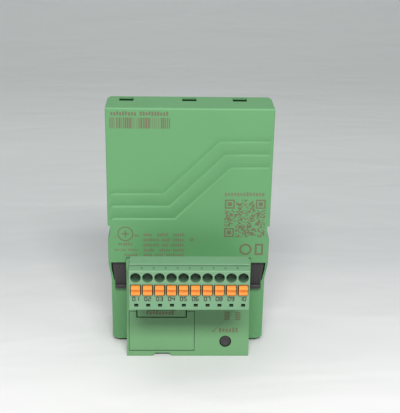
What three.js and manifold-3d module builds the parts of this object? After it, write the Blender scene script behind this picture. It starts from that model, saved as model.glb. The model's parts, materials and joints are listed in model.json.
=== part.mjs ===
// A plug-in PLC module for a 35 mm top-hat rail: a flat green housing with a ten-pole push-in terminal plug,
// a memory stick behind a small flap, a confirm button and two rail release slides.
// Millimetres. +X is right as seen from the front, +Y is back, +Z is up. While the pieces are made, y = 0
// is the front face of the upper cover and z = 0 is the base. The exported group is then moved so that its
// origin is the middle of the base.
import * as THREE from "three";
import { mergeVertices } from "three/addons/utils/BufferGeometryUtils.js";
import Module from "manifold-3d";

const wasm = await Module();
wasm.setup();

// ---------------------------------------------------------------- driving dimensions
const width = 50; // upper cover, side to side
const height = 80.3; // base to top
const coverDepth = 13.4; // front face to the parting line
const bodyDepth = 23.5; // front face to the back
const seam = 0.3; // gap between two moulded pieces that meet
const fineSeam = 0.12; // gap between pieces of the front that are fitted closely
const slip = 0.25; // gap round a piece that slides
const frontWall = 1.6; // front and top of the cover, and the rear shell
const sideWall = 1.0; // sides of the cover

const wingNarrow = 0.6; // how much narrower each side is below the cover's front face
const wingBack = 3.4; // how far the lower wings stand back from the front face
const wingWall = 1.2; // front wall and floor of a wing
const wingFoot = 1.2; // underside of the wings above the base
const slopeTop = 30.5; // where the front face starts to slope back
const slopeBottom = 23; // where the slope reaches the wings
const cornerCut = [1.7, 0.9]; // bevel at the lower outer corner of a wing, across and up

const notchDepth = 0.75; // shallow notch in each side of the cover
const notchLow = 38.2;
const notchHigh = 42.7;
const snapSlots = [-19.1, -0.15, 15.1]; // middles of the three snap windows in the top
const snapSlotWidth = 4.3;
const snapSlotY = [7.8, 11.5];
const snapSlotSkin = 0.5; // thickness of the top round a window
const backCorner = [1.2, 3]; // cut at the cover's back corners, across and along

const traceRise = [52.95, 69.65]; // height of the first trace line at the left and at the right
const traceRightBend = 9.1; // where the first trace line levels out on the right
const tracePitch = 4.1; // from one trace line to the next
const traceWidth = 2.3;
const traceReturn = 0.5; // how much of that width the steep lower edge takes
const traceDepth = 0.5;
const traceEnd = 0.8; // plain margin beside the cover's edge
const traceFade = 1.2; // each end runs out over this length

const bezelHalf = 19.4; // half the width of the lower front block
const bezelTop = 31.9;
const bezelWall = 1.35;
const bezelSide = 0.7;
const bezelFloor = 1.4;
const bezelToe = -5.6; // front edge of the block at the base
const bezelFace = -1.6; // front of the block behind the plug
const panelTilt = THREE.MathUtils.degToRad(12.4); // the panel leans back as it rises
const fingerNotch = { x: -8.2, wide: 6, narrow: 4.4, high: 1, deep: 3 };

const flapX = [-18.65, 2.0];
const flapTop = 14.65; // measured up the panel
const flapThick = 1.2;
const flapAxis = 2.5; // hinge height up the panel
const flapAxisDeep = 0.75; // hinge depth behind the panel's face
const flapEdge = 0.6; // the flap's lower edge is this far below the hinge
const stubRadius = 0.35;
const flapSweep = 1.06; // radius kept free round the hinge for the flap's lower corner

const stickX = [-16.1, -0.7];
const stickZ = [12.95, 15.85];
const stickHead = 3.4; // grip that fills the notch in the flap
const bladeWidth = 12;
const bladeThick = 1.8;
const bladeLength = 9;

const buttonX = 11.95;
const buttonUp = 4.8; // measured up the panel
const buttonRadius = 1.6;
const buttonGap = 0.3; // dark ring round the button
const buttonTravel = 0.8;
const lightX = [12.4, 15.8];
const lightZ = 17.6;
const lightRadius = 0.8;

const poles = 10;
const pitch = 3.5;
const plugFront = -19.7;
const plugBack = -10.8;
const plugZ = [24.25, 37.1]; // underside and front top edge of the plug
const plugRidge = 0.6; // the top behind the marker band stands this much higher
const bandDepth = 3.3;
const plugEnd = 0.3; // housing beyond the end poles
const wireZ = 34.8;
const wireRadius = 1.52;
const wireThroat = 0.8;
const throatRise = 0.6; // the throat opens above the middle of the wire hole
const wireDeep = 2.8;
const plugWall = 3.4; // front wall of the plug
const leverZ = 30.85; // middle of the push buttons
const leverSize = [2.7, 3.15];
const leverProud = 1.15;
const leverTravel = 1.6;
const leverGap = 0.17;
const testZ = 25.85;
const testSize = [1.2, 0.95];

const headerZ = [24.8, 31.4];
const headerWall = 0.8;
const headerBackWall = -1.2; // where the socket for the plug ends
const pinZ = 28.1;
const pinSize = 0.8;
const contactStock = 0.4; // sheet thickness of a clamp contact

const boardFront = 3.2;
const boardThick = 1.6;

const railCentre = 41;
const railHeight = 35;
const railFlange = 1;
const railPlay = 0.2;
const hookOver = 1.4; // how far a hook reaches behind the rail's flange
const seatY = 18; // floor of the rail channel
const seatPad = 0.4;
const slideTravel = 3;
const slideX = [19.75, 23.15, 24.0]; // thumb plates: inner edge, outer edge at the foot and at the top
const armX = [20.35, 22.95]; // arms inside the wings
const lipProud = 1.75; // thumb lip in front of the wing
const lipHigh = 1.2;

// ---------------------------------------------------------------- shape helpers
const AXIS_X = new THREE.Vector3(1, 0, 0);
const AXIS_Y = new THREE.Vector3(0, 1, 0);
const AXIS_Z = new THREE.Vector3(0, 0, 1);

// A closed geometry as a solid that can be joined and cut.
function solid(geometry) {
  const flat = geometry.index ? geometry.toNonIndexed() : geometry;
  const bare = new THREE.BufferGeometry().setAttribute("position", flat.getAttribute("position"));
  const merged = mergeVertices(bare, 1e-4);
  const made = new wasm.Mesh({
    numProp: 3,
    vertProperties: new Float32Array(merged.attributes.position.array),
    triVerts: new Uint32Array(merged.index.array),
  });
  return new wasm.Manifold(made);
}

// A solid as a geometry for a mesh.
function geometryOf(manifold) {
  const mesh = manifold.getMesh();
  const step = mesh.numProp;
  const points = new Float32Array(mesh.numVert * 3);
  for (let i = 0; i < mesh.numVert; i++) {
    points.set(mesh.vertProperties.subarray(i * step, i * step + 3), i * 3);
  }
  const geometry = new THREE.BufferGeometry()
    .setAttribute("position", new THREE.BufferAttribute(points, 3))
    .setIndex(new THREE.BufferAttribute(new Uint32Array(mesh.triVerts), 1))
    .toNonIndexed();
  geometry.computeVertexNormals();
  return geometry;
}

// An outline through [a, b] corners; a third number rounds that corner off by that radius.
function outline(corners) {
  const shape = new THREE.Shape();
  corners.forEach(([a, b, radius = 0], i) => {
    const here = new THREE.Vector2(a, b);
    const towards = ([p, q]) => new THREE.Vector2(p, q).sub(here).setLength(radius);
    const before = towards(corners.at(i - 1));
    const after = towards(corners[(i + 1) % corners.length]);
    const start = here.clone().add(before);
    if (i === 0) shape.moveTo(start.x, start.y);
    else shape.lineTo(start.x, start.y);
    if (radius > 0) shape.quadraticCurveTo(a, b, a + after.x, b + after.y);
  });
  return shape;
}

function pulled(shape, length, basis, segments = 4) {
  const options = { depth: length, bevelEnabled: false, curveSegments: segments };
  const made = new THREE.ExtrudeGeometry(shape, options);
  return made.applyMatrix4(new THREE.Matrix4().makeBasis(...basis));
}

// Prisms: corners in (y, z) pulled along x, in (x, z) along y, and in (x, y) along z.
const alongX = (corners, [x0, x1]) =>
  solid(pulled(outline(corners), x1 - x0, [AXIS_Y, AXIS_Z, AXIS_X]).translate(x0, 0, 0));
const alongY = (corners, [y0, y1]) =>
  solid(pulled(outline(corners), y1 - y0, [AXIS_X, AXIS_Z, AXIS_Y.clone().negate()]).translate(0, y1, 0));
const alongZ = (corners, [z0, z1]) =>
  solid(pulled(outline(corners), z1 - z0, [AXIS_X, AXIS_Y, AXIS_Z]).translate(0, 0, z0));

const box = ([x0, x1], [y0, y1], [z0, z1]) =>
  solid(
    new THREE.BoxGeometry(x1 - x0, y1 - y0, z1 - z0).translate((x0 + x1) / 2, (y0 + y1) / 2, (z0 + z1) / 2),
  );

// A round rod along y from y0 to y1, with its own radius at each end.
const rod = (x, z, [y0, y1], front, back = front, sides = 24) =>
  solid(new THREE.CylinderGeometry(back, front, y1 - y0, sides).translate(x, (y0 + y1) / 2, z));

// A piece made for the right side, or its mirror image for the left.
const mirrored = (side, manifold) => (side > 0 ? manifold : manifold.mirror([1, 0, 0]));

const pinAcross = ([x0, x1], y, z, radius, sides = 16) => {
  const pin = new THREE.CylinderGeometry(radius, radius, x1 - x0, sides).rotateZ(Math.PI / 2);
  return solid(pin.translate((x0 + x1) / 2, y, z));
};

const sorted = (a, b) => (a < b ? [a, b] : [b, a]);
const around = (middle, size) => [middle - size / 2, middle + size / 2];
const grown = ([low, high], by) => [low - by, high + by];
const joined = (...solids) => solids.reduce((sum, next) => sum.add(next));
const cut = (from, ...solids) => solids.reduce((left, next) => left.subtract(next), from);

// The tilted panel of the lower block has its own frame: x as it is, y into the panel, z up the panel.
const panelFrame = new THREE.Matrix4().makeRotationX(-panelTilt).setPosition(0, bezelToe, 0);
const onPanel = (manifold) => manifold.transform(panelFrame.toArray());

// ---------------------------------------------------------------- materials
const finish = (color, roughness, metalness) =>
  new THREE.MeshStandardMaterial({ color, roughness, metalness });
const plastic = (color, roughness = 0.55) => finish(color, roughness, 0);
const metal = (color, roughness = 0.3) => finish(color, roughness, 1);
const housingGreen = plastic(0x6fae78);
const plugGreen = plastic(0x88bd92);
const leverOrange = plastic(0xf58a35, 0.4);
const black = plastic(0x2b2a2c, 0.5);
const boardGreen = plastic(0x1f5b3a, 0.45);
const chipBlack = plastic(0x1c1c1e, 0.6);
const clear = plastic(0xd8e4dc, 0.2);
const ferrite = plastic(0x3a3a3d, 0.7);
const tinned = metal(0xb9b6ab);
const steel = metal(0xa8abb0);
const aluminium = metal(0xc4c7ca, 0.35);

const module = new THREE.Group();
function add(name, material, manifold, parent = module) {
  const mesh = new THREE.Mesh(geometryOf(manifold), material);
  mesh.name = name;
  parent.add(mesh);
  return mesh;
}

// ---------------------------------------------------------------- upper cover
const wingHalf = width / 2 - wingNarrow;
const bezelGap = bezelHalf + fineSeam;

// The body seen from the front, drawn in by inset, with its foot at the given height.
function bodyOutline(inset, foot, round = 0) {
  const [across, up] = cornerCut;
  const top = height - inset;
  const half = width / 2 - inset;
  const low = wingHalf - inset;
  return [
    [-half, top, round],
    [-half, slopeTop],
    [-low, slopeBottom],
    [-low, foot + up],
    [-(low - across), foot],
    [low - across, foot],
    [low, foot + up],
    [low, slopeBottom],
    [half, slopeTop],
    [half, top, round],
  ];
}

// One trace groove along a line with two bends: it deepens downwards and ends in a steep lower edge.
function traceGroove(index) {
  const [left, right] = traceRise.map((z) => z - index * tracePitch);
  const shift = index * tracePitch * Math.tan(Math.PI / 8);
  const rightBend = traceRightBend + shift;
  const end = width / 2 - traceEnd;
  const runOut = 0.1; // share of the depth left at the two ends
  const path = [
    [-end, left, runOut],
    [-end + traceFade, left, 1],
    [rightBend - (right - left), left, 1],
    [rightBend, right, 1],
    [end - traceFade, right, 1],
    [end, right, runOut],
  ];
  const clearOut = 0.5; // the cutter starts in front of the face
  const section = [
    [0, -clearOut],
    [traceWidth, -clearOut],
    [traceWidth, 0],
    [traceReturn, traceDepth],
    [0, 0],
  ];
  const points = [];
  path.forEach(([x, z, share], i) => {
    const directions = [path[i - 1] && [path[i - 1], path[i]], path[i + 1] && [path[i], path[i + 1]]]
      .filter(Boolean)
      .map(([a, b]) => new THREE.Vector2(b[0] - a[0], b[1] - a[1]).normalize());
    const mean = directions.reduce((sum, d) => sum.clone().add(d), new THREE.Vector2()).normalize();
    const normal = new THREE.Vector2(-mean.y, mean.x).divideScalar(mean.dot(directions[0]));
    section.forEach(([across, depth]) => {
      points.push([x + normal.x * across, depth > 0 ? depth * share : depth, z + normal.y * across]);
    });
  });
  const n = section.length;
  const faces = [];
  for (let i = 0; i + 1 < path.length; i++) {
    for (let k = 0; k < n; k++) {
      const a = i * n + k;
      const b = i * n + ((k + 1) % n);
      faces.push([a, a + n, b], [b, a + n, b + n]);
    }
  }
  const last = (path.length - 1) * n;
  for (let k = 1; k + 1 < n; k++) {
    faces.push([0, k, k + 1], [last, last + k + 1, last + k]);
  }
  const geometry = new THREE.BufferGeometry().setAttribute(
    "position",
    new THREE.Float32BufferAttribute(faces.flat().flatMap((i) => points[i]), 3),
  );
  return solid(geometry);
}

function frontCover() {
  const round = 0.8;
  const edge = 0.5;
  const fromFront = alongY(bodyOutline(0, wingFoot, edge), [0, coverDepth]);
  const fromSide = alongX(
    [
      [0, height, round],
      [0, slopeTop],
      [wingBack, slopeBottom],
      [wingBack, wingFoot],
      [coverDepth, wingFoot],
      [coverDepth, height, round],
    ],
    around(0, width + 2),
  );
  const fromTop = alongZ(
    [
      [-width / 2, 0, edge],
      [width / 2, 0, edge],
      [width / 2, coverDepth - backCorner[1], edge],
      [width / 2 - backCorner[0], coverDepth],
      [-width / 2 + backCorner[0], coverDepth],
      [-width / 2, coverDepth - backCorner[1], edge],
    ],
    [0, height + 1],
  );
  const outer = fromFront.intersect(fromSide).intersect(fromTop);
  const past = coverDepth + 1;
  const innerFront = alongY(bodyOutline(sideWall, wingFoot + wingWall), [0, past]);
  const innerSide = alongX(
    [
      [frontWall, height - frontWall],
      [frontWall, slopeTop],
      [wingBack + wingWall, slopeBottom],
      [wingBack + wingWall, wingFoot],
      [past, wingFoot],
      [past, height - frontWall],
    ],
    around(0, width),
  );
  const half = width / 2 - sideWall;
  const innerTop = alongZ(
    [
      [-half, 0],
      [half, 0],
      [half, coverDepth - backCorner[1]],
      [half - backCorner[0], coverDepth],
      [half - backCorner[0], past],
      [-half + backCorner[0], past],
      [-half + backCorner[0], coverDepth],
      [-half, coverDepth - backCorner[1]],
    ],
    [0, height],
  );
  let shell = outer.subtract(innerFront.intersect(innerSide).intersect(innerTop));
  const tall = [-1, height + 1];
  for (const side of [-1, 1]) {
    const inner = width / 2 - notchDepth - 1.2;
    const boss = box(sorted(side * inner, (side * width) / 2 - side * 0.2), [frontWall / 2, coverDepth - 1],
      grown([notchLow, notchHigh], 1.2));
    const notch = mirrored(
      side,
      alongY(
        [
          [width / 2 + 1, notchHigh],
          [width / 2 - notchDepth, notchHigh],
          [width / 2 - notchDepth, notchLow + 1.5],
          [width / 2 + 0.01, notchLow],
          [width / 2 + 1, notchLow],
        ],
        [-1, past],
      ),
    );
    const window = mirrored(
      side,
      alongY(
        [
          [slideX[0] - 0.15, slideWindow[0]],
          [slideX[2] + 0.15 - slideTaper * (slideWindow[1] - slideWindow[0] - slideTravel), slideWindow[0]],
          [slideX[2] + 0.15, slideWindow[1] - slideTravel],
          [slideX[2] + 0.15, slideWindow[1]],
          [slideX[0] - 0.15, slideWindow[1]],
        ],
        [-1, wingBack + wingWall + 0.1],
      ),
    );
    const footHole = box(sorted(side * (armX[0] - slip), side * (armX[1] + slip)), grown(armY, slip),
      [0, wingFoot + wingWall + 1]);
    shell = cut(shell.add(boss), notch, window, footHole);
  }
  shell = shell.subtract(box(around(0, 2 * bezelGap), [-1, past], [tall[0], bezelTop + fineSeam]));
  for (const x of snapSlots) {
    const through = box(around(x, snapSlotWidth), snapSlotY, [height - frontWall - 1, height + 1]);
    const relief = box(around(x, snapSlotWidth + 1.2), [snapSlotY[0] - 0.5, snapSlotY[1] + 1.4],
      [height - frontWall - 1, height - snapSlotSkin]);
    shell = cut(shell, through, relief);
  }
  for (let i = 0; i < 3; i++) shell = shell.subtract(traceGroove(i));
  return shell;
}

// ---------------------------------------------------------------- lower front block
const panelTop = (bezelFace - bezelToe) / Math.tan(panelTilt); // where the panel meets the upright wall
const flapHole = [
  flapX.map((x, i) => x + (i ? fineSeam : -fineSeam)),
  [flapAxis - flapEdge, flapTop + fineSeam],
];
const stickHole = [grown(stickX, seam), grown(stickZ, seam)];
const bezelBack = 2.9;
const bezelShoulder = 19.5; // the deep lower part of the block ends here

function connectorBlock() {
  const outer = alongX(
    [
      [bezelToe, 0],
      [bezelFace, panelTop],
      [bezelFace, bezelTop],
      [bezelBack, bezelTop],
      [bezelBack, bezelShoulder],
      [coverDepth, bezelShoulder],
      [coverDepth, 0],
    ],
    around(0, 2 * bezelHalf),
  );
  const wall = bezelWall / Math.cos(panelTilt);
  const inner = alongX(
    [
      [bezelToe + wall + bezelFloor * Math.tan(panelTilt), bezelFloor],
      [bezelFace + bezelWall, panelTop],
      [bezelFace + bezelWall, bezelTop - 0.7],
      [bezelBack + 1, bezelTop - 0.7],
      [bezelBack + 1, bezelShoulder - 1],
      [coverDepth + 1, bezelShoulder - 1],
      [coverDepth + 1, bezelFloor],
    ],
    around(0, 2 * (bezelHalf - bezelSide)),
  );
  // Cheeks beside the flap carry its hinge stubs.
  const cheeks = flapHole[0].map((x, i) =>
    onPanel(box(sorted(x, i ? x + 1.2 : -bezelHalf + 0.1), [0.6, 2.4], around(flapAxis, 2.4))),
  );
  const stubHole = onPanel(
    pinAcross([flapX[0] - 0.5, flapX[1] + 1], flapAxisDeep, flapAxis, stubRadius + fineSeam),
  );
  const sweep = onPanel(pinAcross(flapHole[0], flapAxisDeep, flapAxis, flapSweep, 32));
  const deep = [-1, bezelWall + 0.4];
  const cutters = [
    onPanel(box(flapHole[0], [-1, 2.6], flapHole[1])),
    onPanel(box(stickHole[0], deep, stickHole[1])),
    onPanel(rod(buttonX, buttonUp, deep, buttonRadius + buttonGap)),
    stubHole,
    sweep,
    box(around(0, 2 * (headerHalf + slip)), [bezelFace - 1, bezelBack + 1], grown(headerZ, 0.15)),
    alongY(
      [
        [fingerNotch.x - fingerNotch.wide / 2, -1],
        [fingerNotch.x + fingerNotch.wide / 2, -1],
        [fingerNotch.x + fingerNotch.wide / 2, 0.05],
        [fingerNotch.x + fingerNotch.narrow / 2, fingerNotch.high],
        [fingerNotch.x - fingerNotch.narrow / 2, fingerNotch.high],
        [fingerNotch.x - fingerNotch.wide / 2, 0.05],
      ],
      [bezelToe - 1, bezelToe + fingerNotch.deep],
    ),
    ...lightX.map((x) => onPanel(rod(x, lightUp, deep, lightRadius + 0.1, lightRadius + 0.1, 16))),
  ];
  // The service board rests on a ledge at each side.
  const ledges = [-1, 1].map((side) => {
    const across = sorted(side * 16.6, side * (bezelHalf - 0.3));
    const under = serviceZ[0];
    return onPanel(box(across, [serviceY[0] + 0.4, serviceY[1] - 1], [under - 1.3, under - 0.05]));
  });
  return cut(joined(outer.subtract(inner), ...cheeks, ...ledges), ...cutters);
}

const lightUp = 16.6;
const serviceZ = [10.3, 11.7];
const serviceY = [6.2, 14.6];

function accessFlap() {
  const plate = box(flapX, [0, flapThick], [flapAxis - flapEdge, flapTop]);
  const stubs = pinAcross([flapX[0] - 0.35, flapX[1] + 0.7], flapAxisDeep, flapAxis, stubRadius);
  const notch = box(stickHole[0], [-1, 3], [stickHole[1][0], flapTop + 1]);
  const pull = box(around(-8.2, 6), [flapThick - 0.3, flapThick + 0.5], [flapTop - 4.2, flapTop - 3.4]);
  return onPanel(cut(joined(plate, stubs, pull), notch));
}

const stickMiddle = (stickX[0] + stickX[1]) / 2;
const bladeZ = around((stickZ[0] + stickZ[1]) / 2, bladeThick);
function memoryStick() {
  const grip = box(stickX, [0, stickHead], stickZ);
  const groove = box(around(stickMiddle, 9), [-1, 0.35], around(bladeZ[1], 0.5));
  const blade = box(around(stickMiddle, bladeWidth), [stickHead - 0.5, stickHead + bladeLength], bladeZ);
  return onPanel(cut(joined(grip, blade), groove));
}

function memorySocket() {
  const [low, high] = bladeZ;
  const body = box(around(stickMiddle, bladeWidth + 2.4), [stickHead + 1, serviceY[1] - 1],
    [serviceZ[1] + 0.05, high + 1]);
  const mouth = box(around(stickMiddle, bladeWidth + 0.4), [stickHead, stickHead + bladeLength + 0.2],
    [low - 0.15, high + 0.15]);
  return onPanel(body.subtract(mouth));
}

const portX = around(-8.2, 8);
function servicePort() {
  const [front, under] = [serviceY[0], serviceZ[0]];
  const shell = box(portX, [front + 0.4, front + 7], [under - 3.2, under - 0.05]);
  const mouth = box(grown(portX, -0.45), [front, front + 5], [under - 2.75, under - 0.5]);
  const tongue = box(grown(portX, -1.4), [front + 1, front + 5.5], around(under - 1.62, 0.6));
  return onPanel(joined(shell.subtract(mouth), tongue));
}

function confirmButton() {
  const cap = rod(buttonX, buttonUp, [0.25, 2.2], buttonRadius);
  const flange = rod(buttonX, buttonUp, [1.65, 2.4], buttonRadius + 0.7);
  const stem = rod(buttonX, buttonUp, [2.35, 4.4], 0.8, 0.8, 16);
  const dish = rod(buttonX, buttonUp, [-1, 0.45], buttonRadius - 0.35, buttonRadius - 0.55);
  return onPanel(cut(joined(cap, flange, stem), dish));
}

function confirmSwitch() {
  const back = 4.4 + buttonTravel + 0.25;
  const body = box(around(buttonX, 5), [back, back + 3.4], [buttonUp - 0.9, serviceZ[0] - 0.05]);
  return onPanel(body);
}

function lightGuide(x) {
  const stem = rod(x, lightUp, [0.1, 4.8], lightRadius, lightRadius, 16);
  const collar = rod(x, lightUp, [1.7, 2.4], 1.3, 1.3, 16);
  return onPanel(joined(stem, collar));
}

function light(x) {
  const front = serviceY[0];
  const body = box(around(x, 2.2), [front + 0.1, front + 2.2], [serviceZ[1] + 0.05, lightUp + 1.1]);
  return onPanel(joined(body, rod(x, lightUp, [front - 1.1, front + 0.2], 0.6, 0.9, 12)));
}

// ---------------------------------------------------------------- terminal plug and its header
const poleX = Array.from({ length: poles }, (_, i) => (i - (poles - 1) / 2) * pitch);
const plugHalf = (poles * pitch) / 2 + plugEnd - 0.15;
const headerInner = grown(headerZ, -headerWall);
const noseZ = grown(headerInner, -0.2);
const noseHalf = plugHalf - 0.4;
const headerHalf = noseHalf + 0.2 + headerWall;
const noseEnd = headerBackWall - 0.4;
const chamberFront = plugFront + plugWall;
const chamberBack = plugBack - 0.8;
const contactZ = [pinZ - 1.2, pinZ + 1.2]; // outer faces of the two contact leaves

function headerShroud() {
  const shell = box(around(0, 2 * headerHalf), [plugBack + 0.3, boardFront - 0.05], headerZ);
  const mouth = box(around(0, 2 * (noseHalf + 0.2)), [plugBack - 1, headerBackWall], headerInner);
  const hole = pinSize + 0.04;
  const holes = poleX.map((x) => box(around(x, hole), [-9, boardFront + 1], around(pinZ, hole)));
  return cut(shell, mouth, ...holes);
}

const headerPin = (x) => {
  const shank = box(around(x, pinSize), [plugBack + 2.6, boardFront + boardThick + 1], around(pinZ, pinSize));
  const tip = rod(x, pinZ, [plugBack + 1.8, plugBack + 2.62], 0.2, (pinSize / 2) * Math.SQRT1_2 + 0.1, 8);
  return joined(shank, tip);
};

function plugHousing() {
  const [low, edge] = plugZ;
  const top = edge + plugRidge;
  const profile = alongX(
    [
      [plugFront, low, 0.25],
      [plugFront, edge, 0.3],
      [plugFront + bandDepth, edge],
      [plugFront + bandDepth, top, 0.25],
      [plugBack, top, 0.4],
      [plugBack, low],
    ],
    around(0, 2 * plugHalf),
  );
  const nose = box(around(0, 2 * noseHalf), [plugBack - 0.5, noseEnd], noseZ);
  const cutters = [];
  for (const x of poleX) {
    cutters.push(
      box(around(x, 2.7), [chamberFront, chamberBack], [contactZ[0] - 0.3, top - 1.2]),
      box(around(x, 2.7), [chamberBack - 1, noseEnd + 1], grown(contactZ, 0.3)),
      rod(x, wireZ, [plugFront - 0.5, plugFront + wireDeep], wireRadius + 0.06, wireRadius - 0.06),
      rod(x, wireZ + throatRise, [plugFront + wireDeep - 0.2, chamberFront + 1], wireThroat, wireThroat, 16),
      box(around(x, leverSize[0] + 2 * leverGap), [plugFront - 1, chamberFront + 0.5],
        around(leverZ, leverSize[1] + 2 * leverGap)),
      box(around(x + 0.15, testSize[0]), [plugFront - 1, plugFront + 3.4], around(testZ, testSize[1])),
    );
  }
  // Shallow marks between the poles on the marker band.
  for (let i = 0; i + 1 < poles; i++) {
    const middle = poleX[i] + pitch / 2;
    cutters.push(box(around(middle, 0.5), [plugFront + 1.1, plugFront + 2.6], [edge - 0.25, edge + 1]));
  }
  return cut(joined(profile, nose), ...cutters);
}

// One of the two ridges on a push button, downwards: depth behind the front, and height above the middle of
// the ridge as a share of half the button's height.
const ridge = [
  [0.6, 0.42],
  [0.14, 0.3],
  [0, 0.1],
  [0, -0.12],
  [0.6, -0.42],
];

// A push button: two ridges with a screwdriver groove between them, and a shoulder that keeps it in the plug.
function actuator(x) {
  const front = plugFront - leverProud;
  const half = leverSize[1] / 2;
  const shoulder = chamberFront + 0.2;
  const back = shoulder + 2.2;
  const shelf = front + ridge[0][0]; // the plain end between and beside the ridges
  const ridgeAt = (middle) => ridge.map(([deep, up]) => [front + deep, leverZ + half * (middle + up)]);
  const profile = [
    [back, leverZ - half - 0.4],
    [back, leverZ + half + 0.4],
    [shoulder, leverZ + half + 0.4],
    [shoulder, leverZ + half],
    [shelf, leverZ + half],
    ...ridgeAt(0.5),
    ...ridgeAt(-0.5),
    [shelf, leverZ - half],
    [shoulder, leverZ - half],
    [shoulder, leverZ - half - 0.4],
  ];
  return alongX(profile, around(x, leverSize[0] - 0.1));
}

// A clamp contact: an upright strip behind the wire chamber and two leaves either side of the header pin.
function clampContact(x) {
  const strip = [chamberBack - 0.1 - contactStock, chamberBack - 0.1];
  const end = noseEnd - 0.6;
  const [low, high] = contactZ;
  return alongX(
    [
      [strip[0], low],
      [end, low],
      [end, low + contactStock],
      [strip[1], low + contactStock],
      [strip[1], high - contactStock],
      [end, high - contactStock],
      [end, high],
      [strip[1], high],
      [strip[1], wireZ + 1.2],
      [strip[0], wireZ + 1.2],
    ],
    around(x, 2.1),
  );
}

// ---------------------------------------------------------------- boards and parts on them
const boardBack = boardFront + boardThick;
const boardHalf = width / 2 - sideWall - 1.4;
const boardTop = height - frontWall - 2.3;
function mainBoard() {
  const plate = alongY(
    [
      [-boardHalf, boardTop],
      [-boardHalf, 31.2],
      [-19, 31.2],
      [-19, bezelShoulder + 0.6],
      [19, bezelShoulder + 0.6],
      [19, 31.2],
      [boardHalf, 31.2],
      [boardHalf, boardTop],
    ],
    [boardFront, boardBack],
  );
  const holes = poleX.map((x) =>
    box(around(x, pinSize + 0.1), [boardFront - 1, boardBack + 1], around(pinZ, pinSize + 0.1)),
  );
  return cut(plate, ...holes);
}

const processor = () => box(around(-4, 12), [boardBack, boardBack + 1.4], around(52, 12));
const storageCap = () => rod(11, 64, [boardBack, boardBack + 7.4], 4, 4, 28);
const inductor = () => {
  const body = alongY(
    [
      [-15.5, 60, 1.2],
      [-9, 60, 1.2],
      [-9, 66.5, 1.2],
      [-15.5, 66.5, 1.2],
    ],
    [boardBack, boardBack + 3.2],
  );
  return body.subtract(rod(-12.25, 63.25, [boardBack + 2.6, boardBack + 4], 1.9));
};
function boardPlug() {
  const body = box(around(10, 12), [boardBack, boardBack + 5.6], around(40, 5));
  const slot = box(around(10, 10.4), [boardBack + 1.2, boardBack + 6], around(40, 2.6));
  return body.subtract(slot);
}
const serviceBoard = () => onPanel(box(around(0, 36), serviceY, serviceZ));

// ---------------------------------------------------------------- rear shell
const hookZ = [railCentre - railHeight / 2, railCentre + railHeight / 2];
const flangeBack = seatY + seatPad + railFlange + railPlay;
const shellFront = coverDepth + seam;
const shellWall = 1.6;
const footBarZ = [14.6, hookZ[0] - 0.35];
const webX = [slideX[0], 22.75];
const webZ = [15, 21];

function rearShell() {
  const plateHalf = width / 2 - backCorner[0] - 0.2;
  const plate = alongY(
    [
      [-plateHalf, height - 0.8, 0.5],
      [-plateHalf, wingFoot + 1],
      [-bezelHalf, 0],
      [bezelHalf, 0],
      [plateHalf, wingFoot + 1],
      [plateHalf, height - 0.8, 0.5],
    ],
    [shellFront, shellFront + shellWall],
  );
  const hump = alongX(
    [
      [shellFront, 72.5],
      [shellFront + shellWall, 72.5],
      [bodyDepth, 69, 1],
      [bodyDepth, hookZ[1] - hookOver + 0.3, 0.3],
      [flangeBack, hookZ[1] - hookOver, 0.2],
      [flangeBack, hookZ[1] + 0.3],
      [seatY, hookZ[1] + 0.3],
      [seatY, hookZ[1] - hookOver - 0.4],
      [seatY + seatPad, hookZ[1] - hookOver - 0.4],
      [seatY + seatPad, hookZ[0] + hookOver + 0.5],
      [seatY, hookZ[0] + hookOver + 0.5],
      [seatY, hookZ[0] - 0.2],
      [shellFront, hookZ[0] - 0.2],
    ],
    around(0, 2 * plateHalf),
  );
  const lower = alongX(
    [
      [shellFront, footBarZ[0] - slideTravel - 0.5],
      [bodyDepth - 2, footBarZ[0] - slideTravel - 0.5, 0.6],
      [bodyDepth - 2, 3, 0.6],
      [shellFront + shellWall, 1],
      [shellFront, 1],
    ],
    around(0, 2 * (bezelHalf - 0.5)),
  );
  const inside = around(0, 2 * (width / 2 - 2.6));
  const hollowUpper = box(inside, [shellFront - 1, bodyDepth - 2.2], [hookZ[1] + 1.9, 69]);
  const hollowMiddle = box(inside, [shellFront - 1, seatY - 1.5], [hookZ[0] + 1.4, hookZ[1] + 2.4]);
  const hollowLower = box(around(0, 2 * (bezelHalf - 2.2)), [shellFront - 1, bodyDepth - 3.6],
    [3.6, footBarZ[0] - slideTravel - 2.1]);
  let shell = cut(joined(plate, hump, lower), hollowUpper, hollowMiddle, hollowLower);
  for (const side of [-1, 1]) {
    const across = sorted(side * (webX[0] - slip), side * (webX[1] + slip));
    const slot = box(across, [shellFront - 1, shellFront + shellWall + 0.5],
      [webZ[0] - slideTravel - slip, webZ[1] + slip]);
    shell = shell.subtract(slot);
  }
  // Snap arms that reach forward into the three windows in the top of the cover.
  const armTop = height - frontWall - 1.5;
  for (const x of snapSlots) {
    const across = around(x, snapSlotWidth - 0.6);
    const arm = box(across, [snapSlotY[0] + 0.3, shellFront + 0.5], [armTop - 1.2, armTop]);
    const hook = alongX(
      [
        [snapSlotY[0] + 0.3, armTop - 0.2],
        [snapSlotY[1] - 0.3, armTop - 0.2],
        [snapSlotY[1] - 0.3, armTop + 0.7],
        [snapSlotY[0] + 0.9, armTop + 0.7],
      ],
      across,
    );
    shell = joined(shell, arm, hook);
  }
  // Vent slots through the upper hump.
  for (let i = 0; i < 5; i++) {
    shell = shell.subtract(box(around((i - 2) * 8, 4.5), [bodyDepth - 3, bodyDepth + 1], [62.4, 64]));
  }
  return shell;
}

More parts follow.
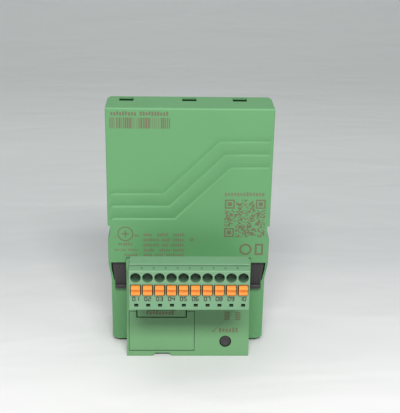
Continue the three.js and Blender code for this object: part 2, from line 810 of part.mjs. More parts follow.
// ---------------------------------------------------------------- rail release
const slideWindow = [22.6, 30.3]; // opening in each wing behind the thumb plate
const plateY = [wingBack - 1.3, wingBack - 0.3];
const slideZ = [20.3, 29.9];
const slideTaper = (slideX[2] - slideX[1]) / (slideZ[1] - slideWindow[0]); // lean of the plate's outer edge
const armY = [wingBack + wingWall + 0.25, wingBack + wingWall + 2.75];

// One moulding: a thumb plate, an arm and a foot on each side, joined at the back by the bar that hooks
// the rail.
function railRelease() {
  const pieces = [];
  const [low, high] = slideZ;
  const lipTop = low + lipHigh;
  const plateFace = alongY(
    [
      [slideX[0], low],
      [slideX[1], low],
      [slideX[1], slideWindow[0] + 0.1],
      [slideX[2], high],
      [slideX[0], high],
    ],
    [-1, plateY[1]],
  );
  const plateSide = alongX(
    [
      [plateY[1], low],
      [wingBack - lipProud, low, 0.3],
      [wingBack - lipProud, lipTop, 0.3],
      [plateY[0] + 0.4, lipTop + 0.3],
      [plateY[0] - 0.6, high],
      [plateY[1], high],
    ],
    [slideX[0] - 1, slideX[2] + 1],
  );
  const plate = plateFace.intersect(plateSide);
  for (const side of [-1, 1]) {
    const arm = sorted(side * armX[0], side * armX[1]);
    const web = sorted(side * webX[0], side * webX[1]);
    pieces.push(
      mirrored(side, plate),
      box(arm, [plateY[0], armY[1]], [slideWindow[0] + slideTravel + 0.4, slideZ[1]]),
      box(arm, armY, [0.3, slideZ[1]]),
      box(web, [armY[0], shellFront + shellWall + 0.6], webZ),
    );
    // Grip ribs on the thumb plate.
    for (let i = 0; i < 4; i++) {
      const x = slideX[0] + 0.6 + i * 0.75;
      const rib = alongX(
        [
          [plateY[1] - 0.2, lipTop],
          [plateY[0] + 0.2, lipTop],
          [plateY[0] - 0.75, high - 0.4],
          [plateY[1] - 0.2, high - 0.4],
        ],
        around(x, 0.3),
      );
      pieces.push(mirrored(side, rib));
    }
  }
  const barFront = shellFront + shellWall + 0.3;
  const hook = alongX(
    [
      [barFront, footBarZ[0]],
      [bodyDepth - 1.4, footBarZ[0]],
      [bodyDepth - 1.4, hookZ[0] + hookOver - 0.5, 0.3],
      [flangeBack + 0.2, hookZ[0] + hookOver, 0.2],
      [flangeBack, hookZ[0] + hookOver],
      [flangeBack, footBarZ[1]],
      [barFront, footBarZ[1]],
    ],
    around(0, 2 * webX[1]),
  );
  return joined(...pieces, hook);
}

// ---------------------------------------------------------------- the module
add("front_cover", housingGreen, frontCover());
add("connector_block", housingGreen, connectorBlock());
add("rear_shell", housingGreen, rearShell());
add("rail_release", black, railRelease());
add("access_flap", housingGreen, accessFlap());
add("memory_stick", housingGreen, memoryStick());
add("memory_socket", steel, memorySocket());
add("service_port", steel, servicePort());
add("service_board", boardGreen, serviceBoard());
add("confirm_button", black, confirmButton());
add("confirm_switch", chipBlack, confirmSwitch());
lightX.forEach((x, i) => {
  add(`light_guide_${i + 1}`, clear, lightGuide(x));
  add(`status_light_${i + 1}`, clear, light(x));
});
add("main_board", boardGreen, mainBoard());
add("processor", chipBlack, processor());
add("storage_capacitor", aluminium, storageCap());
add("power_inductor", ferrite, inductor());
add("board_connector", chipBlack, boardPlug());
add("header_shroud", plugGreen, headerShroud());
add("plug_housing", plugGreen, plugHousing());
poleX.forEach((x, i) => {
  const number = String(i + 1).padStart(2, "0");
  add(`header_pin_${number}`, tinned, headerPin(x));
  add(`clamp_contact_${number}`, tinned, clampContact(x));
  add(`actuator_${number}`, leverOrange, actuator(x));
});

// The middle of the base becomes the origin.
module.position.y = -(plugFront - leverProud + bodyDepth) / 2;
const group = new THREE.Group();
group.add(module);

export default group;
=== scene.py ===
# %% [markdown]
# A rail-mounted control module with a pull-off terminal plug.
# The housing and everything that moves already exist as imported CAD pieces. This lesson puts skins,
# printed marks and light on them. We load the frame first and keep its box. We work in metres, and MM
# turns a size in millimetres into metres.

# %% Load the frame
import json
import math
import random

import bmesh
import bpy
from mathutils import Matrix, Vector


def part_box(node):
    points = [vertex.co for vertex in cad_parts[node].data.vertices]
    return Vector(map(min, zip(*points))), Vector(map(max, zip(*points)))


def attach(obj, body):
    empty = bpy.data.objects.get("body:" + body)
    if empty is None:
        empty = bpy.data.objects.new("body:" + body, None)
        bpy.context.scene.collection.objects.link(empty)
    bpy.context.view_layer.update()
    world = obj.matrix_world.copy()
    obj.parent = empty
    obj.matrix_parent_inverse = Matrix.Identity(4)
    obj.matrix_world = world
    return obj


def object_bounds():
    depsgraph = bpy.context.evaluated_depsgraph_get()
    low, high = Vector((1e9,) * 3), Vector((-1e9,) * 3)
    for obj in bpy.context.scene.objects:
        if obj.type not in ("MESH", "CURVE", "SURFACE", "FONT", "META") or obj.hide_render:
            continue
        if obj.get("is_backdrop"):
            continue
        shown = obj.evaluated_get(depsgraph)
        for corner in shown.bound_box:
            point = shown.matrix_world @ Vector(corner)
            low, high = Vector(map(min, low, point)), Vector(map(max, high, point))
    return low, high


MM = 0.001
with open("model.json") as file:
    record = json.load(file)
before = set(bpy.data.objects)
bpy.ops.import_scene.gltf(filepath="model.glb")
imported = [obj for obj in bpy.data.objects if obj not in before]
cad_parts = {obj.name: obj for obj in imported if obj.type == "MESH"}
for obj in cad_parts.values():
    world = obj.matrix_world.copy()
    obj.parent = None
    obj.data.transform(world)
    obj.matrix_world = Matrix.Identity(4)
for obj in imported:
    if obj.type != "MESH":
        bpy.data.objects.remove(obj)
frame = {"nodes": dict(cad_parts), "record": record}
cad_low, cad_high = (list(corner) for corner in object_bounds())
nodes = frame["nodes"]
cad_size = [round((b - a) / MM, 1) for a, b in zip(cad_low, cad_high)]
print("CAD pieces:", len(nodes), "box in mm:", cad_size)

# %% [markdown]
# The camera stands about 0.3 metres from the module's foot and looks down on it. It could be aimed
# with a constraint, but the view is also turned by a degree in its own plane, so we write the three
# axes ourselves: yaw about the vertical, pitch downwards, then roll. Blender's camera looks along
# its own minus Z.

# %% Camera
CAMERA_MM = (-4.87, -255.98, 152.56)
CAMERA_DEGREES = (-1.84, 22.06, 0.95)  # yaw, pitch, roll
LENS_MM = 78.46
SENSOR_MM = 36

camera_place = Vector(CAMERA_MM) * MM
yaw, pitch, roll = (math.radians(angle) for angle in CAMERA_DEGREES)
turn = Matrix.Rotation(yaw, 3, "Z")
forward = turn @ Vector((0, math.cos(pitch), -math.sin(pitch)))
level = turn @ Vector((1, 0, 0))
upright = level.cross(forward)
right = level * math.cos(roll) + upright * math.sin(roll)
up = upright * math.cos(roll) - level * math.sin(roll)

camera = bpy.data.objects.new("camera", bpy.data.cameras.new("camera"))
bpy.context.scene.collection.objects.link(camera)
camera.data.sensor_fit = "VERTICAL"
camera.data.sensor_height = SENSOR_MM
camera.data.lens = LENS_MM
camera.data.clip_start = 0.01
axes = Matrix((right, up, -forward)).transposed().to_4x4()
camera.matrix_world = Matrix.Translation(camera_place) @ axes
bpy.context.scene.camera = camera
bpy.context.scene.view_settings.view_transform = "Standard"
print("camera lens:", round(camera.data.lens, 2), "mm, distance:", round(camera_place.length, 3), "m")

# %% [markdown]
# A material is a small network of nodes. A few helpers keep the rest short: they make an empty
# material with its shader, add a node and fill its sockets, join two sockets, and build what most
# skins here are made of: a noise, a colour ramp, a bump and an uneven roughness. Numbers that are the
# same all over a surface are set on the shader itself.

# %% Node helpers
def new_material(name, roughness, metallic=0.0):
    material = bpy.data.materials.new(name)
    material.use_nodes = True
    shader = material.node_tree.nodes["Principled BSDF"]
    shader.inputs["Roughness"].default_value = roughness
    shader.inputs["Metallic"].default_value = metallic
    return material, shader


def add_node(material, kind, **sockets):
    """Adds a node and fills its sockets; From_Min stands for the socket called From Min."""
    node = material.node_tree.nodes.new(kind)
    for name, value in sockets.items():
        node.inputs[name.replace("_", " ")].default_value = value
    return node


def join(material, source, target):
    material.node_tree.links.new(source, target)


def place_of(material):
    """The point on the piece, in metres, so that a pattern keeps its real size."""
    return add_node(material, "ShaderNodeTexCoord").outputs["Object"]


def noise(material, size_mm, detail=2.0, stretch=None, distortion=0.0):
    """A soft random pattern of blotches about size_mm across; a stretch below 1 makes them longer."""
    place = place_of(material)
    if stretch:
        mapping = add_node(material, "ShaderNodeMapping", Scale=stretch)
        join(material, place, mapping.inputs["Vector"])
        place = mapping.outputs["Vector"]
    node = add_node(material, "ShaderNodeTexNoise", Scale=1 / (size_mm * MM), Detail=detail,
                    Distortion=distortion)
    join(material, place, node.inputs["Vector"])
    return node.outputs["Fac"]


def ramp(material, source, stops):
    """Turns a 0 to 1 pattern into colours; stops are (place, colour)."""
    node = add_node(material, "ShaderNodeValToRGB")
    elements = node.color_ramp.elements
    for element, (place, colour) in zip(elements, (stops[0], stops[-1])):
        element.position, element.color = place, colour
    for place, colour in stops[1:-1]:
        elements.new(place).color = colour
    join(material, source, node.inputs["Fac"])
    return node.outputs["Color"]


def grain_bump(material, shader, source, depth_mm, strength=1.0):
    node = add_node(material, "ShaderNodeBump", Strength=strength, Distance=depth_mm * MM)
    join(material, source, node.inputs["Height"])
    join(material, node.outputs["Normal"], shader.inputs["Normal"])


def uneven_roughness(material, shader, source, low, high, source_range=(0.0, 1.0)):
    """Lets the roughness follow a pattern, between low and high."""
    lowest, highest = source_range
    node = add_node(material, "ShaderNodeMapRange", From_Min=lowest, From_Max=highest, To_Min=low,
                    To_Max=high)
    join(material, source, node.inputs["Value"])
    join(material, node.outputs["Result"], shader.inputs["Roughness"])


def shade(colour, factor=1.0):
    """A lighter or darker version of a colour, with full cover."""
    return tuple(min(1.0, part * factor) for part in colour) + (1.0,)


print("helpers ready; materials so far:", len(bpy.data.materials))

# %% [markdown]
# The housing is moulded in a mid green plastic. The mould is spark-eroded, so the skin has a fine
# even grain and a dull sheen rather than a gloss. One flat colour would look like paint, so a slow
# noise drifts the colour a little, as the flow of the plastic does, and a fine noise gives the grain
# its bump and breaks up the shine.
# The wire holes and the lever slots are deep and narrow, and very little light comes back out of
# them. Holes as deep as the real ones would cut through the clamps behind them, so shade is painted
# into the colour instead: it is scaled down wherever the surroundings close in, on the housing, the
# block, the plug and the levers. Ambient occlusion measures that, within a reach set in millimetres.
# The lower block, its flap and the memory stick get a green a touch greyer and yellower than the
# cover's.

# %% Moulded plastics
HOUSING_COLOUR = (0.107, 0.290, 0.118)
BLOCK_COLOUR = (0.133, 0.298, 0.136)
PLUG_COLOUR = (0.157, 0.315, 0.175)
FLOW_MM = 14.0  # size of the slow drift of colour
SHUT_IN, OPEN = 0.25, 0.8  # occlusion values that count as fully shut in and as open


def painted_recess_shade(material, colours, reach_mm, darkest):
    """Paints shade: scales the colour down where the surroundings close in within reach_mm."""
    closed_in = add_node(material, "ShaderNodeAmbientOcclusion", Distance=reach_mm * MM)
    factor = add_node(material, "ShaderNodeMapRange", From_Min=SHUT_IN, From_Max=OPEN, To_Min=darkest,
                      To_Max=1.0)
    join(material, closed_in.outputs["AO"], factor.inputs["Value"])
    scaled = add_node(material, "ShaderNodeVectorMath")
    scaled.operation = "SCALE"
    join(material, colours, scaled.inputs[0])
    join(material, factor.outputs["Result"], scaled.inputs["Scale"])
    return scaled.outputs["Vector"]


def moulded(name, colour, roughness, drift, grain_mm=0.16, depth_mm=0.012, recess=None):
    """A moulded plastic; recess is (reach in mm, darkest factor) of the shade painted into recesses.
    """
    material, shader = new_material(name, roughness)
    slow = noise(material, FLOW_MM, 3.0)
    colours = ramp(material, slow, [(0.3, shade(colour, 1 - drift)), (0.7, shade(colour, 1 + drift))])
    if recess:
        colours = painted_recess_shade(material, colours, *recess)
    join(material, colours, shader.inputs["Base Color"])
    fine = noise(material, grain_mm)
    grain_bump(material, shader, fine, depth_mm)
    uneven_roughness(material, shader, fine, roughness - 0.05, roughness + 0.07, (0.3, 0.7))
    shader.inputs["Specular IOR Level"].default_value = 0.45
    return material


# The recess pairs set the reach and depth of the shade painted into holes, slots and seams.
housing_green = moulded("housing_green", HOUSING_COLOUR, 0.5, 0.025, recess=(1.2, 0.5))
block_green = moulded("block_green", BLOCK_COLOUR, 0.5, 0.025, recess=(1.2, 0.5))
plug_green = moulded("plug_green", PLUG_COLOUR, 0.45, 0.025, grain_mm=0.12, depth_mm=0.008,
                     recess=(3.0, 0.3))
lever_orange = moulded("lever_orange", (0.92, 0.27, 0.035), 0.4, 0.04, grain_mm=0.1, depth_mm=0.005,
                       recess=(0.9, 0.25))
slide_black = moulded("slide_black", (0.034, 0.03, 0.032), 0.45, 0.15, grain_mm=0.14, depth_mm=0.01)
chip_black = moulded("chip_black", (0.018, 0.018, 0.02), 0.6, 0.1, grain_mm=0.08, depth_mm=0.006)
ferrite_grey = moulded("ferrite_grey", (0.05, 0.05, 0.055), 0.75, 0.2, grain_mm=0.2, depth_mm=0.03)
print("plastics:", [material.name for material in bpy.data.materials])

# %% [markdown]
# Metals need no colour pattern, because what the eye reads is how they reflect. Tinned contacts get
# a soft noise in their roughness, and rolled sheet gets a noise stretched along one direction, which
# reads as fine brushing.

# %% Metals
METAL_GRAIN_MM = 0.3
METAL_BUMP_MM = 0.004


def metal(name, colour, roughness, stretch=(1, 1, 1)):
    material, shader = new_material(name, roughness, metallic=1.0)
    shader.inputs["Base Color"].default_value = shade(colour)
    streaks = noise(material, METAL_GRAIN_MM, 3.0, stretch=stretch)
    uneven_roughness(material, shader, streaks, roughness - 0.08, roughness + 0.12)
    grain_bump(material, shader, streaks, METAL_BUMP_MM)
    return material


tinned = metal("tinned", (0.68, 0.66, 0.6), 0.3)
sheet_steel = metal("sheet_steel", (0.6, 0.61, 0.63), 0.35, stretch=(0.1, 1, 1))
can_aluminium = metal("can_aluminium", (0.74, 0.75, 0.76), 0.38, stretch=(1, 0.1, 1))
print("metals:", tinned.name, sheet_steel.name, can_aluminium.name)

# %% [markdown]
# The circuit boards are glass fibre under green solder mask. Copper runs in long straight tracks, so
# a noise or a cell pattern would look too loose. A brick pattern of thin bars stands in for the
# tracks and shows as a slightly lighter green. The light guides are clear plastic: transmission lets
# light through, and a little tint and roughness stop them from looking like empty glass.

# %% Boards and light guides
TRACK_MM = 9  # length scale of the copper pattern
ACRYLIC_IOR = 1.49


def circuit_board():
    material, shader = new_material("solder_mask", 0.35)
    bars = add_node(material, "ShaderNodeTexBrick", Scale=1 / (TRACK_MM * MM))
    bars.inputs["Color1"].default_value = (0.012, 0.12, 0.045, 1)
    bars.inputs["Color2"].default_value = (0.016, 0.15, 0.055, 1)
    bars.inputs["Mortar"].default_value = (0.03, 0.21, 0.085, 1)
    join(material, place_of(material), bars.inputs["Vector"])
    join(material, bars.outputs["Color"], shader.inputs["Base Color"])
    grain_bump(material, shader, noise(material, 0.4), 0.01)
    return material


def clear_plastic():
    material, shader = new_material("clear_plastic", 0.2)
    stops = [(0.3, (0.7, 0.8, 0.72, 1)), (0.7, (0.78, 0.86, 0.8, 1))]
    tint = ramp(material, noise(material, 3.0), stops)
    join(material, tint, shader.inputs["Base Color"])
    shader.inputs["Transmission Weight"].default_value = 0.6
    shader.inputs["IOR"].default_value = ACRYLIC_IOR
    return material


solder_mask = circuit_board()
clear = clear_plastic()
print("boards:", solder_mask.name, "guides:", clear.name)

# %% [markdown]
# Every CAD piece keeps its own shape and gets the skin of its material slot. CAD edges are perfectly
# sharp, and a sharp edge catches no light, so a moulded piece looks like cut card. A Bevel modifier
# with a small width rounds each edge that turns by more than 35 degrees, and Weighted Normal keeps
# the flat faces flat. A Weld goes first, because a CAD mesh can hold a corner twice. All three are
# modifiers, so the CAD mesh below them keeps its shape. The cover alone is shaded flat, because the
# steps of its relief turn by only ten degrees and smooth shading would blur them away.

# %% Skins and soft edges for the CAD pieces
SKIN_OF_SLOT = {
    "housing_plastic": housing_green,
    "plug_plastic": plug_green,
    "orange_plastic": lever_orange,
    "black_plastic": slide_black,
    "circuit_board": solder_mask,
    "chip_plastic": chip_black,
    "clear_plastic": clear,
    "tinned_metal": tinned,
    "steel_shell": sheet_steel,
    "aluminium_can": can_aluminium,
    "ferrite": ferrite_grey,
}
# Pieces that take the block's greyer, yellower green.
BLOCK_GREEN_PIECES = {
    "connector_block": block_green,
    "access_flap": block_green,
    "memory_stick": block_green,
}
EDGE_MM = {
    "front_cover": 0.22,
    "connector_block": 0.15,
    "rear_shell": 0.25,
    "rail_release": 0.12,
    "access_flap": 0.1,
    "memory_stick": 0.12,
    "plug_housing": 0.06,
    "header_shroud": 0.1,
}
SMALL_EDGE_MM = 0.08
CRISP = ("front_cover",)
SHARP_DEGREES = 35
WELD_MM = 0.002


def soften(piece, width_mm):
    """Merges doubled corners, rounds the sharp edges and keeps flat faces flat."""
    weld = piece.modifiers.new("weld", "WELD")
    weld.merge_threshold = WELD_MM * MM
    bevel = piece.modifiers.new("edge", "BEVEL")
    bevel.width = width_mm * MM
    bevel.segments = 2
    bevel.limit_method = "ANGLE"
    bevel.angle_limit = math.radians(SHARP_DEGREES)
    bevel.use_clamp_overlap = True
    bevel.harden_normals = False
    for face in piece.data.polygons:
        face.use_smooth = piece.name not in CRISP
    normals = piece.modifiers.new("flat_faces", "WEIGHTED_NORMAL")
    normals.keep_sharp = False
    normals.weight = 80


slot_of = {part["node"]: part["material_slot"] for part in frame["record"]["subparts"]}
for name, piece in nodes.items():
    piece.data.materials.clear()
    piece.data.materials.append(BLOCK_GREEN_PIECES.get(name, SKIN_OF_SLOT[slot_of[name]]))
    if slot_of[name] != "clear_plastic":
        soften(piece, EDGE_MM.get(name, SMALL_EDGE_MM))
print("skinned:", len(nodes), "pieces")

# %% [markdown]
# The labels are burnt in by a laser, which turns the green plastic a greyish brown. The mark is made
# of tiny dots, so it never covers the plastic fully. An image would be the usual way to print text.
# Here each mark is a thin piece of geometry, and its material mixes brown with the green below by a
# fine noise. All wording is left out: rows of small blocks stand in for the lines of print.

# %% Laser mark material
DOT_MM = 0.22


def laser_mark(name, brown, green, cover=0.75):
    """A burnt mark; a larger cover leaves less of the green to be seen."""
    material, shader = new_material(name, 0.65)
    dots = noise(material, DOT_MM, 1.0)
    green_until, brown_from = 0.5 - 0.35 * cover, 0.62 - 0.25 * cover
    colours = ramp(material, dots, [(green_until, shade(green, 0.92)), (brown_from, shade(brown))])
    join(material, colours, shader.inputs["Base Color"])
    grain_bump(material, shader, dots, 0.01)
    shader.inputs["Specular IOR Level"].default_value = 0.25
    return material


mark_brown = laser_mark("mark_brown", (0.148, 0.127, 0.082), HOUSING_COLOUR)
mark_faint = laser_mark("mark_faint", (0.166, 0.165, 0.101), HOUSING_COLOUR, cover=0.65)
mark_grey = laser_mark("mark_grey", (0.065, 0.075, 0.06), PLUG_COLOUR, cover=0.8)
print("marks:", mark_brown.name, mark_faint.name, mark_grey.name)

# %% [markdown]
# Every mark lies on a flat face, so it is drawn in two directions and then laid on the face. A
# Surface holds a face's place: its origin and the directions that mean right and up there. Bars,
# rings and strokes are all built as closed plates 0.03 mm thick, half sunk into the plastic, so that
# they have no open edges.

# %% Drawing on a face
MARK_THICK = 0.03


class Surface:
    def __init__(self, origin_mm, up_direction, out_direction):
        self.origin = Vector(origin_mm)
        self.up = Vector(up_direction).normalized()
        self.out = Vector(out_direction).normalized()
        self.across = self.up.cross(self.out)

    def point(self, a, b, lift):
        return (self.origin + self.across * a + self.up * b + self.out * lift) * MM


def plate(mesh, surface, outline):
    """A closed plate with this outline, listed anticlockwise as seen from outside."""
    lows = [mesh.verts.new(surface.point(a, b, -MARK_THICK / 2)) for a, b in outline]
    highs = [mesh.verts.new(surface.point(a, b, MARK_THICK / 2)) for a, b in outline]
    mesh.faces.new(highs)
    mesh.faces.new(list(reversed(lows)))
    count = len(outline)
    for i in range(count):
        j = (i + 1) % count
        mesh.faces.new((lows[i], lows[j], highs[j], highs[i]))


def bar(mesh, surface, a0, a1, b0, b1):
    plate(mesh, surface, [(a0, b0), (a1, b0), (a1, b1), (a0, b1)])


def ring(mesh, surface, middle, outer, inner, steps=32):
    """A ring as a chain of closed plates."""
    a, b = middle
    for i in range(steps):
        angles = [math.radians(360.0 * k / steps) for k in (i, i + 1)]
        (c0, s0), (c1, s1) = ((math.cos(t), math.sin(t)) for t in angles)
        plate(mesh, surface, [
            (a + inner * c0, b + inner * s0), (a + outer * c0, b + outer * s0),
            (a + outer * c1, b + outer * s1), (a + inner * c1, b + inner * s1),
        ])


def stroke(mesh, surface, start, end, width):
    along = Vector((end[0] - start[0], end[1] - start[1])).normalized()
    side = Vector((-along.y, along.x)) * width / 2
    corners = [Vector(start) - side, Vector(end) - side, Vector(end) + side, Vector(start) + side]
    plate(mesh, surface, [(c.x, c.y) for c in corners])


def finish_mark(name, mesh, material, body):
    """Turns a drawn mesh into a piece that rides on a body."""
    data = bpy.data.meshes.new(name)
    mesh.normal_update()
    mesh.to_mesh(data)
    mesh.free()
    piece = bpy.data.objects.new(name, data)
    bpy.context.scene.collection.objects.link(piece)
    data.materials.append(material)
    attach(piece, body)
    print("mark:", name, len(data.polygons), "faces")


COVER_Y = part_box("front_cover")[0].y / MM
cover_face = Surface((0, COVER_Y, 0), (0, 0, 1), (0, -1, 0))
print("cover face at y =", round(COVER_Y, 2), "mm")

# %% [markdown]
# Printed lines are stood in for by rows of small blocks. Each block is as wide as a letter would be
# and has one of a few heights, chosen by a seeded random generator. From a distance the row has the
# grey value of print, and from near it is plainly a row of blocks that spells nothing.

# %% Lines of stand-in print
LETTER_PITCH = 0.66  # letter pitch as a part of the line's height
LETTER_SHARE = 0.68  # part of the pitch that a block fills
pen = random.Random(11)


def print_line(mesh, surface, a0, a1, b0, b1, gaps=()):
    """Fills a strip with blocks, apart from the places in gaps, so that the row falls into words."""
    height = b1 - b0
    count = max(1, round((a1 - a0) / (height * LETTER_PITCH)))
    pitch = (a1 - a0) / count
    for i in range(count):
        top = b0 + height * pen.choice((0.8, 0.8, 1.0))
        foot = b0 + height * pen.choice((0.0, 0.0, 0.12))
        if i not in gaps:
            bar(mesh, surface, a0 + i * pitch, a0 + (i + LETTER_SHARE) * pitch, foot, top)


lines = bmesh.new()
print_line(lines, cover_face, -23.4, -6.2, 77.9, 79.2, gaps=(9,))
finish_mark("serial_line", lines, mark_brown, "housing")

lines = bmesh.new()
print_line(lines, cover_face, 10.8, 23.1, 52.7, 54.1)
finish_mark("code_caption", lines, mark_faint, "housing")

ROW_HIGH = 1.05
ROW_TOPS = (40.4, 38.65, 36.9, 35.15, 33.5)
ROW_GAPS = ((4, 5, 11, 12), (7, 12), (7, 11), (5, 6, 12), (4, 9))
lines = bmesh.new()
for top, gaps in zip(ROW_TOPS, ROW_GAPS):
    print_line(lines, cover_face, -14.0, -1.4, top - ROW_HIGH, top, gaps=gaps)
finish_mark("rating_lines", lines, mark_faint, "housing")

# %% [markdown]
# The bar strip and the square code are only textures to the eye here. Both are made of random widths
# and random cells, so neither can be read by a scanner. The code keeps three corner squares, as such
# codes have.

# %% Bar strip and square code
STRIP_LEFT, STRIP_RIGHT = -23.7, -5.8
STRIP_BOTTOM, STRIP_TOP = 74.0, 77.35
SPARSE = ((-22.6, -22.0), (-17.6, -15.9), (-11.6, -9.3))  # stretches with thin bars far apart
strip = bmesh.new()
left = STRIP_LEFT
while left < STRIP_RIGHT:
    sparse = any(start < left < end for start, end in SPARSE)
    width = pen.choice((0.14, 0.2) if sparse else (0.2, 0.3, 0.45, 0.55))
    bar(strip, cover_face, left, left + width, STRIP_BOTTOM, STRIP_TOP)
    left += width + pen.choice((0.4, 0.5) if sparse else (0.16, 0.2, 0.26))
finish_mark("bar_strip", strip, mark_brown, "housing")

CODE_LEFT, CODE_BOTTOM, CODE_WIDE = 10.9, 39.15, 12.5
CELLS = 29
CORNER = 7  # cells along the side of a corner square
FILLED = 0.46  # share of the other cells that are dark
cell = CODE_WIDE / CELLS
code = bmesh.new()
corners = ((0, 0), (0, CELLS - CORNER), (CELLS - CORNER, CELLS - CORNER))


def in_corner(i, j):
    """Whether a cell is part of a corner square or of the empty line round it."""
    return any(c - 1 <= i < c + CORNER + 1 and r - 1 <= j < r + CORNER + 1 for c, r in corners)


def code_cell(i0, i1, j0, j1):
    bar(code, cover_face, CODE_LEFT + i0 * cell, CODE_LEFT + i1 * cell, CODE_BOTTOM + j0 * cell,
        CODE_BOTTOM + j1 * cell)


for i in range(CELLS):
    for j in range(CELLS):
        if not in_corner(i, j) and pen.random() < FILLED:
            code_cell(i, i + 1, j, j + 1)
for c, r in corners:
    code_cell(c, c + CORNER, r, r + 1)
    code_cell(c, c + CORNER, r + CORNER - 1, r + CORNER)
    code_cell(c, c + 1, r + 1, r + CORNER - 1)
    code_cell(c + CORNER - 1, c + CORNER, r + 1, r + CORNER - 1)
    code_cell(c + 2, c + CORNER - 2, r + 2, r + CORNER - 2)
finish_mark("square_code", code, mark_brown, "housing")

# %% [markdown]
# Approval marks belong to other people, so plain signs of the same size and line width stand in for
# them: a ring with a plus in it on the left, and on the right an open ring beside an upright frame.
# A tiny ring in the middle closes the lines of print, where a small sign stands.

# %% Plain signs
PLUS_LINE, FRAME_LINE = 0.4, 0.6
signs = bmesh.new()
ring(signs, cover_face, (-19.6, 40.1), 2.45, 2.12)
for start, end in (((-20.7, 40.1), (-18.5, 40.1)), ((-19.6, 40.35), (-19.6, 41.2)),
                   ((-19.6, 39.0), (-19.6, 39.85))):
    stroke(signs, cover_face, start, end, PLUS_LINE)
finish_mark("ring_sign", signs, mark_brown, "housing")

signs = bmesh.new()
print_line(signs, cover_face, -21.9, -17.3, 36.1, 37.2)
print_line(signs, cover_face, -16.8, -15.4, 39.1, 39.9)
print_line(signs, cover_face, -23.0, -22.5, 38.9, 39.6)
print_line(signs, cover_face, -23.0, -15.6, 34.3, 35.1, gaps=(3, 7))
print_line(signs, cover_face, -20.0, -15.8, 32.5, 33.4)
finish_mark("ring_sign_lines", signs, mark_faint, "housing")

signs = bmesh.new()
ring(signs, cover_face, (17.7, 34.95), 1.95, 1.35)
for start, end in (((20.6, 36.6), (23.2, 36.6)), ((20.6, 33.3), (23.2, 33.3)),
                   ((20.9, 33.6), (20.9, 36.3)), ((22.9, 33.6), (22.9, 36.3))):
    stroke(signs, cover_face, start, end, FRAME_LINE)
ring(signs, cover_face, (0.95, 38.2), 0.5, 0.25, steps=12)
finish_mark("square_sign", signs, mark_brown, "housing")

# %% [markdown]
# The lower block's front leans back by 12.4 degrees. Its marks use a second surface with the same
# lean: a tick and a row of blocks over the button, and two short columns beside the light outlets.
# The stick's grip is flush with that face, but its mark has to leave with the stick, so it rides on
# the stick's body and not on the housing.

# %% Marks on the leaning panel
LEAN_DEGREES = 12.4
TICK_LINE = 0.3
COLUMNS = ((12.4, 0.56), (15.8, 0.48))  # middle of each column and thickness of its bars
COLUMN_HALF, COLUMN_FOOT, COLUMN_STEP = 0.85, 11.9, 0.72

lean = math.radians(LEAN_DEGREES)
panel_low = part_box("connector_block")[0].y / MM
panel = Surface((0, panel_low, 0), (0, math.sin(lean), math.cos(lean)),
                (0, -math.cos(lean), math.sin(lean)))

signs = bmesh.new()
print_line(signs, panel, 9.9, 16.2, 7.75, 9.35)
stroke(signs, panel, (7.6, 8.5), (8.2, 7.9), TICK_LINE)
stroke(signs, panel, (8.1, 7.85), (9.2, 9.5), TICK_LINE)
for middle, thick in COLUMNS:
    for step in range(4):
        foot = COLUMN_FOOT + step * COLUMN_STEP
        bar(signs, panel, middle - COLUMN_HALF, middle + COLUMN_HALF, foot, foot + thick)
finish_mark("panel_marks", signs, mark_faint, "housing")

signs = bmesh.new()
print_line(signs, panel, -13.2, -4.2, 13.55, 15.0)
finish_mark("stick_mark", signs, mark_brown, "stick")

# %% [markdown]
# Under each lever the plug carries its pole number. Numbers on a terminal are generic, so they are
# real digits. A text curve would do, but it would be a font outline with curved ends. The digits
# here are made of up to seven strokes, like the engraved numbers on a mould insert, and they share
# one mesh.

# %% Pole numbers
SEGMENTS = {
    "0": "abcdef", "1": "bc", "2": "abged", "3": "abgcd", "4": "fgbc",
    "5": "afgcd", "6": "afgedc", "7": "abc", "8": "abcdefg", "9": "abcdfg",
}
SEGMENT_ENDS = {
    "a": ((0, 2), (1, 2)), "b": ((1, 2), (1, 1)), "c": ((1, 1), (1, 0)), "d": ((0, 0), (1, 0)),
    "e": ((0, 1), (0, 0)), "f": ((0, 2), (0, 1)), "g": ((0, 1), (1, 1)),
}
DIGIT_WIDE, DIGIT_HIGH, DIGIT_LINE, DIGIT_GAP = 0.68, 1.2, 0.31, 0.4
NUMBER_FOOT = 27.35


def write_number(mesh, surface, text, middle, bottom):
    total = len(text) * DIGIT_WIDE + (len(text) - 1) * DIGIT_GAP
    left = middle - total / 2
    for character in text:
        for segment in SEGMENTS[character]:
            ends = [(left + x * DIGIT_WIDE, bottom + y * DIGIT_HIGH / 2)
                    for x, y in SEGMENT_ENDS[segment]]
            stroke(mesh, surface, *ends, DIGIT_LINE)
        left += DIGIT_WIDE + DIGIT_GAP


plug_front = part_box("plug_housing")[0].y / MM
plug_face = Surface((0, plug_front, 0), (0, 0, 1), (0, -1, 0))
levers = sorted(name for name in nodes if name.startswith("actuator_"))
numbers = bmesh.new()
for i, name in enumerate(levers):
    low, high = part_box(name)
    write_number(numbers, plug_face, f"{i + 1:02d}", (low.x + high.x) / 2 / MM, NUMBER_FOOT)
finish_mark("pole_numbers", numbers, mark_grey, "plug")
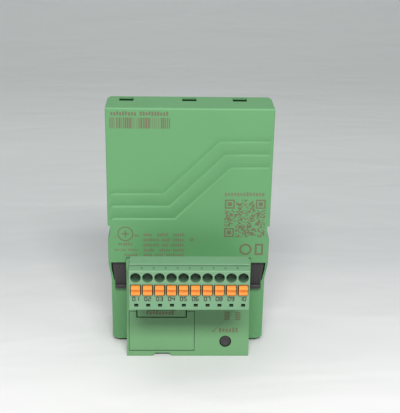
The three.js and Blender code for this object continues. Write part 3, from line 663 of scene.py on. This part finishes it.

# %% [markdown]
# The module stands on a pale sheet that sweeps up behind it, as on a product table. The sheet is one
# curved surface, so there is no horizon line. The paper is one pale colour, but its material is
# painted lighter in front of the module and darker behind it and up the backdrop: painted light and
# shade for how the lamps fall off. Its faint folds run from side to side, so the noise behind them
# is stretched along X. They could be real waves in the mesh, but they are so flat that a bump shows
# the same. The sheet is only a stage, and the frame is told so.

# %% Floor and backdrop
SHEET_FRONT, SHEET_BEND, SHEET_TOP, SHEET_HALF = -0.9, 0.35, 1.2, 1.3  # metres
BEND_RADIUS, BEND_STEPS = 0.35, 12
FOLD_MM = 26
# Painted light and shade by depth: lightest in front of the module, darkest just behind it.
PAINTED_FALLOFF_TONES = [
    (0.0, (0.86, 0.86, 0.85, 1)),
    (0.15, (0.775, 0.77, 0.765, 1)),
    (0.2, (0.675, 0.68, 0.675, 1)),
    (0.28, (0.53, 0.545, 0.54, 1)),
    (0.44, (0.57, 0.59, 0.58, 1)),
    (0.7, (0.535, 0.56, 0.55, 1)),
    (1.0, (0.505, 0.53, 0.525, 1)),
]


def sweep():
    mesh = bmesh.new()
    profile = [(SHEET_FRONT, 0.0), (SHEET_BEND, 0.0)]
    for step in range(1, BEND_STEPS + 1):
        angle = math.radians(90 * step / BEND_STEPS)
        profile.append((SHEET_BEND + BEND_RADIUS * math.sin(angle),
                        BEND_RADIUS * (1 - math.cos(angle))))
    profile.append((SHEET_BEND + BEND_RADIUS, SHEET_TOP))
    rows = [[mesh.verts.new((x, y, z)) for x in (-SHEET_HALF, SHEET_HALF)] for y, z in profile]
    for low_row, high_row in zip(rows, rows[1:]):
        mesh.faces.new((low_row[0], low_row[1], high_row[1], high_row[0]))
    data = bpy.data.meshes.new("paper_sweep")
    mesh.to_mesh(data)
    mesh.free()
    for face in data.polygons:
        face.use_smooth = True
    piece = bpy.data.objects.new("paper_sweep", data)
    bpy.context.scene.collection.objects.link(piece)
    return piece


paper, paper_shader = new_material("paper", 0.9)
depth = add_node(paper, "ShaderNodeSeparateXYZ")
join(paper, place_of(paper), depth.inputs["Vector"])
reach = add_node(paper, "ShaderNodeMapRange", From_Min=-0.15, From_Max=0.65)
join(paper, depth.outputs["Y"], reach.inputs["Value"])
# The sheet's colour is painted light and shade that follows its depth along Y.
painted_falloff = ramp(paper, reach.outputs["Result"], PAINTED_FALLOFF_TONES)
join(paper, painted_falloff, paper_shader.inputs["Base Color"])
folds = noise(paper, FOLD_MM, stretch=(0.4, 1, 1), distortion=0.4)
grain_bump(paper, paper_shader, folds, 1.5, strength=0.9)
floor = sweep()
floor.data.materials.append(paper)
floor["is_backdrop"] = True
print("stage:", floor.name)

# %% [markdown]
# Soft studio light: a wide, shallow box high up in front makes the main light. Being shallow it
# gives the shadow under the plug a firm lower edge, and being wide it keeps the shadows beside it
# soft. A large weak box above lights the sheet behind, and a pale world keeps the shadows open.

# %% Lights
LIGHT_TARGET = (0, 0, 0.03)
WORLD_COLOUR = (0.95, 0.97, 1.0, 1)
WORLD_STRENGTH = 0.335


def soft_box(name, place, size, watts):
    """A rectangular lamp at a place in metres, aimed at the module."""
    data = bpy.data.lights.new(name, "AREA")
    data.shape = "RECTANGLE"
    data.size, data.size_y = size
    data.energy = watts
    lamp = bpy.data.objects.new(name, data)
    bpy.context.scene.collection.objects.link(lamp)
    aim = Vector(LIGHT_TARGET) - Vector(place)
    facing = aim.to_track_quat("-Z", "Y").to_matrix().to_4x4()
    lamp.matrix_world = Matrix.Translation(Vector(place)) @ facing


soft_box("main_box", (0.03, -0.62, 0.635), (0.48, 0.16), 7.8)
soft_box("top_box", (-0.1, 0.15, 0.8), (0.6, 0.5), 1.3)
world = bpy.data.worlds.new("studio")
bpy.context.scene.world = world
world.use_nodes = True
background = world.node_tree.nodes["Background"]
background.inputs["Color"].default_value = WORLD_COLOUR
background.inputs["Strength"].default_value = WORLD_STRENGTH
